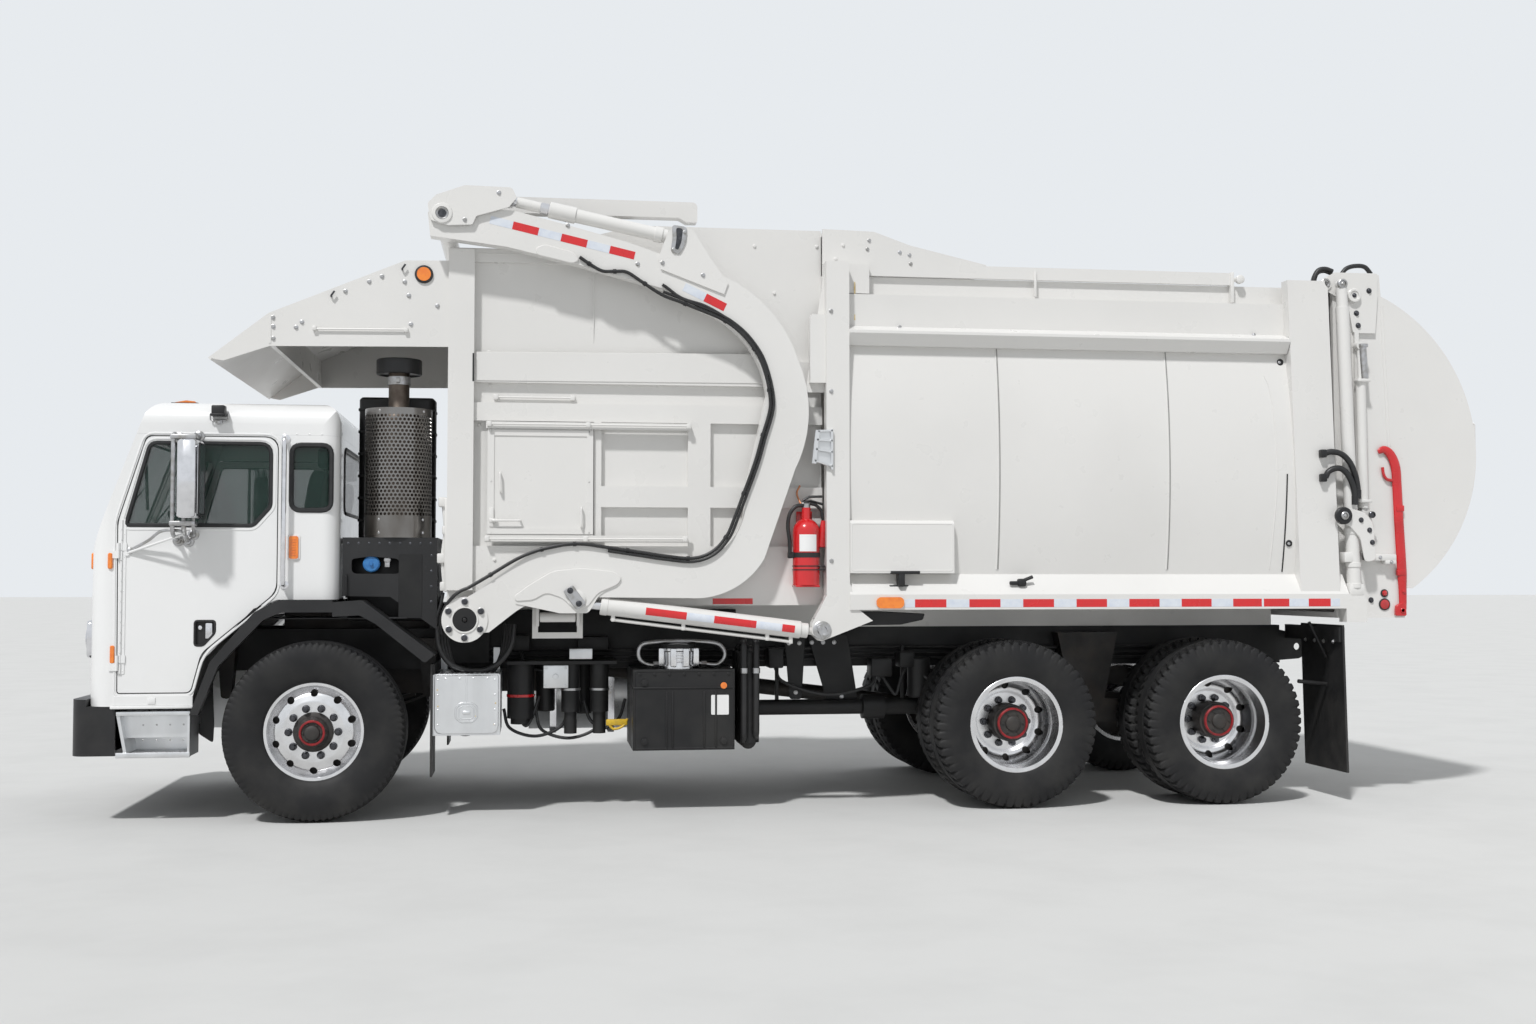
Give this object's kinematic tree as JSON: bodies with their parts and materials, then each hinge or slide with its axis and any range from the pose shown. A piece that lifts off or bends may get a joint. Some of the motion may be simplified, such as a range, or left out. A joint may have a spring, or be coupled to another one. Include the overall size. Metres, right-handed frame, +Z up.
{
  "type": "front-loading garbage truck",
  "caption": "Cabover garbage truck with a hopper behind the cab, over-the-cab lift arms with folding forks, a curved lifting tailgate and tandem drive axles.",
  "frame": {"origin": "on the ground under the middle of the truck", "axes": "+X towards the tailgate, +Y to the right-hand side of the truck as its driver sees it, +Z up"},
  "size_m": [8.858, 2.72, 3.8047],
  "materials": {
    "aluminium": "brushed",
    "cab_black": "matte",
    "frame_black": "satin",
    "glass": "gloss",
    "iron": "matte",
    "lamp_amber": "gloss",
    "lamp_clear": "gloss",
    "lamp_red": "gloss",
    "paint_white": "gloss",
    "red": "gloss",
    "rim": "polished",
    "rubber": "matte",
    "seat": "matte",
    "silencer": "satin",
    "steel": "satin",
    "tyre": "matte"
  },
  "bodies": {
    "chassis": {"chassis_frame": "frame_black", "front_axle": "iron", "drive_axles": "iron", "driveline": "iron", "engine_block": "iron", "cab_shell": "paint_white", "cab_glass": "glass", "cab_interior": "seat", "front_bumper": "cab_black", "cab_steps": "aluminium", "fenders": "cab_black", "engine_cowl": "cab_black", "exhaust_stack": "silencer", "canopy": "paint_white", "hopper_walls": "paint_white", "body_shell": "paint_white", "body_frame": "paint_white", "toolbox": "paint_white", "extinguisher": "red", "hydraulic_tank": "frame_black", "battery_box": "aluminium", "air_tanks": "frame_black", "fuel_tank": "aluminium", "mudflaps": "rubber", "fold_step": "aluminium", "amber_lamps": "lamp_amber", "headlamps": "lamp_clear"},
    "knuckle_left": {"knuckle_left": "iron"},
    "knuckle_right": {"knuckle_right": "iron"},
    "wheel_front_left": {"front_tyre_left": "tyre", "front_wheel_left": "rim"},
    "wheel_front_right": {"front_tyre_right": "tyre", "front_wheel_right": "rim"},
    "wheels_drive_1_left": {"drive_tyres_1_left": "tyre", "drive_wheels_1_left": "rim"},
    "wheels_drive_1_right": {"drive_tyres_1_right": "tyre", "drive_wheels_1_right": "rim"},
    "wheels_drive_2_left": {"drive_tyres_2_left": "tyre", "drive_wheels_2_left": "rim"},
    "wheels_drive_2_right": {"drive_tyres_2_right": "tyre", "drive_wheels_2_right": "rim"},
    "door_left": {"door_left": "paint_white", "door_glass_left": "glass"},
    "door_right": {"door_right": "paint_white", "door_glass_right": "glass"},
    "arms": {"arms": "paint_white"},
    "lift_barrels": {"lift_barrels": "paint_white"},
    "lift_rods": {"lift_rods": "steel"},
    "forks": {"forks": "paint_white"},
    "fork_barrels": {"fork_barrels": "paint_white"},
    "fork_rods": {"fork_rods": "steel"},
    "top_door": {"top_door": "paint_white"},
    "packer": {"packer": "paint_white"},
    "access_door": {"access_door": "paint_white"},
    "tail_barrels": {"tail_barrels": "paint_white"},
    "tail_rods": {"tail_rods": "steel"},
    "tailgate": {"tailgate_shell": "paint_white", "tailgate_gear": "paint_white", "tail_prop": "red", "tail_lamps": "lamp_red"}
  },
  "joints": [
    {"name": "steer_left", "type": "hinge", "parent": "chassis", "child": "knuckle_left", "pos_m": [-3.029, -0.85, 0.535], "axis": [0, 0, 1], "range_deg": [-32, 32]},
    {"name": "steer_right", "type": "hinge", "parent": "chassis", "child": "knuckle_right", "pos_m": [-3.029, 0.85, 0.535], "axis": [0, 0, 1], "range_deg": [-32, 32]},
    {"name": "front_wheel_left_spin", "type": "hinge", "parent": "knuckle_left", "child": "wheel_front_left", "pos_m": [-3.029, -1.057, 0.535], "axis": [0, 1, 0], "continuous": true},
    {"name": "front_wheel_right_spin", "type": "hinge", "parent": "knuckle_right", "child": "wheel_front_right", "pos_m": [-3.029, 1.057, 0.535], "axis": [0, 1, 0], "continuous": true},
    {"name": "drive_wheel_1_left_spin", "type": "hinge", "parent": "chassis", "child": "wheels_drive_1_left", "pos_m": [1.259, -0.9125, 0.525], "axis": [0, 1, 0], "continuous": true},
    {"name": "drive_wheel_1_right_spin", "type": "hinge", "parent": "chassis", "child": "wheels_drive_1_right", "pos_m": [1.259, 0.9125, 0.525], "axis": [0, 1, 0], "continuous": true},
    {"name": "drive_wheel_2_left_spin", "type": "hinge", "parent": "chassis", "child": "wheels_drive_2_left", "pos_m": [2.631, -0.9125, 0.525], "axis": [0, 1, 0], "continuous": true},
    {"name": "drive_wheel_2_right_spin", "type": "hinge", "parent": "chassis", "child": "wheels_drive_2_right", "pos_m": [2.631, 0.9125, 0.525], "axis": [0, 1, 0], "continuous": true},
    {"name": "door_left_hinge", "type": "hinge", "parent": "chassis", "child": "door_left", "pos_m": [-4.165, -1.112, 1.5], "axis": [0, 0, -1], "range_deg": [0, 65]},
    {"name": "door_right_hinge", "type": "hinge", "parent": "chassis", "child": "door_right", "pos_m": [-4.165, 1.112, 1.5], "axis": [0, 0, 1], "range_deg": [0, 65]},
    {"name": "arm_lift", "type": "hinge", "parent": "chassis", "child": "arms", "pos_m": [-2.153, 0, 1.195], "axis": [0, -1, 0], "range_deg": [0, 98]},
    {"name": "lift_barrel_tilt", "type": "hinge", "parent": "chassis", "child": "lift_barrels", "pos_m": [0.001, 0, 1.11], "axis": [0, -1, 0], "range_deg": [-10.12, 0]},
    {"name": "lift_rod_slide", "type": "slide", "parent": "lift_barrels", "child": "lift_rods", "axis": [-0.9924, 0, 0.1233], "range_m": [0, 0.9494]},
    {"name": "fork_tilt", "type": "hinge", "parent": "arms", "child": "forks", "pos_m": [-2.303, 0, 3.631], "axis": [0, -1, 0], "range_deg": [0, 85]},
    {"name": "fork_barrel_tilt", "type": "hinge", "parent": "arms", "child": "fork_barrels", "pos_m": [-0.877, 0, 3.53], "axis": [0, -1, 0], "range_deg": [-7.52, 0]},
    {"name": "fork_rod_slide", "type": "slide", "parent": "fork_barrels", "child": "fork_rods", "axis": [-0.9807, 0, 0.1954], "range_m": [0, 0.5329]},
    {"name": "tailgate_lift", "type": "hinge", "parent": "chassis", "child": "tailgate", "pos_m": [3.372, 0, 3.368], "axis": [0, -1, 0], "range_deg": [0, 80]},
    {"name": "tail_barrel_tilt", "type": "hinge", "parent": "chassis", "child": "tail_barrels", "pos_m": [3.516, 0, 1.33], "axis": [0, -1, 0], "range_deg": [0, 1.58]},
    {"name": "tail_rod_slide", "type": "slide", "parent": "tail_barrels", "child": "tail_rods", "axis": [-0.0296, 0, 0.9996], "range_m": [0, 0.099]},
    {"name": "top_door_slide", "type": "slide", "parent": "chassis", "child": "top_door", "axis": [-1, 0, 0], "range_m": [0, 1.14]},
    {"name": "packer_slide", "type": "slide", "parent": "chassis", "child": "packer", "axis": [1, 0, 0], "range_m": [0, 1.45]},
    {"name": "access_door_slide", "type": "slide", "parent": "chassis", "child": "access_door", "axis": [1, 0, 0], "range_m": [0, 0.59]}
  ],
  "couplings": [
    {"joint": "steer_right", "follows": "steer_left", "ratio": 1},
    {"joint": "lift_barrel_tilt", "follows": "arm_lift", "ratio": -0.10222},
    {"joint": "lift_rod_slide", "follows": "arm_lift", "m_per_rad": 0.55274},
    {"joint": "fork_barrel_tilt", "follows": "fork_tilt", "ratio": -0.087253},
    {"joint": "fork_rod_slide", "follows": "fork_tilt", "m_per_rad": 0.35655},
    {"joint": "tail_barrel_tilt", "follows": "tailgate_lift", "ratio": 0.018508},
    {"joint": "tail_rod_slide", "follows": "tailgate_lift", "m_per_rad": 0.068048}
  ]
}
